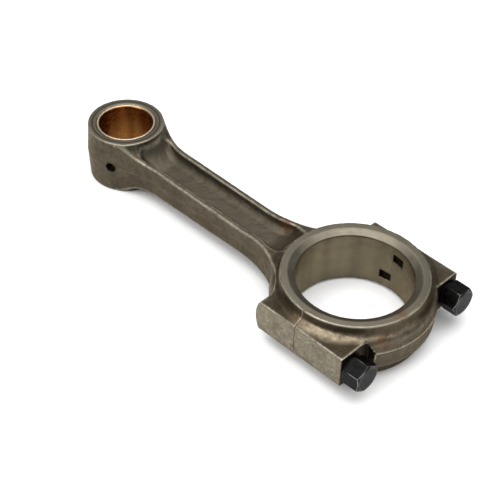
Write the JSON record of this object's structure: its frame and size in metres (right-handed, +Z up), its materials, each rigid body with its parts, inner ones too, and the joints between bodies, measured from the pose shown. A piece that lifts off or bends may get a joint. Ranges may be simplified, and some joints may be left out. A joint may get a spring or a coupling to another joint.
{
  "type": "connecting rod",
  "caption": "Forged engine connecting rod with an I-section beam, a bushed small end and a big end split by a bolted bearing cap.",
  "frame": {"origin": "centre of the bounding box at its bottom, on the plane of the lower thrust faces", "axes": "+X along the rod from the small end to the cap, +Z up along the crankpin and piston-pin axes"},
  "size_m": [0.1982, 0.0749, 0.0276],
  "materials": {
    "forged_steel": "shot-peened forging with machined faces, satin, lightly stained",
    "bush_bronze": "bored bronze, semi-gloss",
    "bolt_steel": "black oxide, satin"
  },
  "bodies": {
    "rod": {"rod_body": "forged_steel", "small_end_bush": "bush_bronze"},
    "cap": {"bearing_cap": "forged_steel"},
    "near_bolt": {"cap_bolt_near": "bolt_steel"},
    "far_bolt": {"cap_bolt_far": "bolt_steel"}
  },
  "joints": [
    {"name": "cap_slide", "type": "slide", "parent": "rod", "child": "cap", "axis": [1, 0, 0], "range_m": [0, 0.06]},
    {"name": "near_bolt_slide", "type": "slide", "parent": "cap", "child": "near_bolt", "axis": [1, 0, 0], "range_m": [0, 0.045]},
    {"name": "far_bolt_slide", "type": "slide", "parent": "cap", "child": "far_bolt", "axis": [1, 0, 0], "range_m": [0, 0.045]}
  ]
}
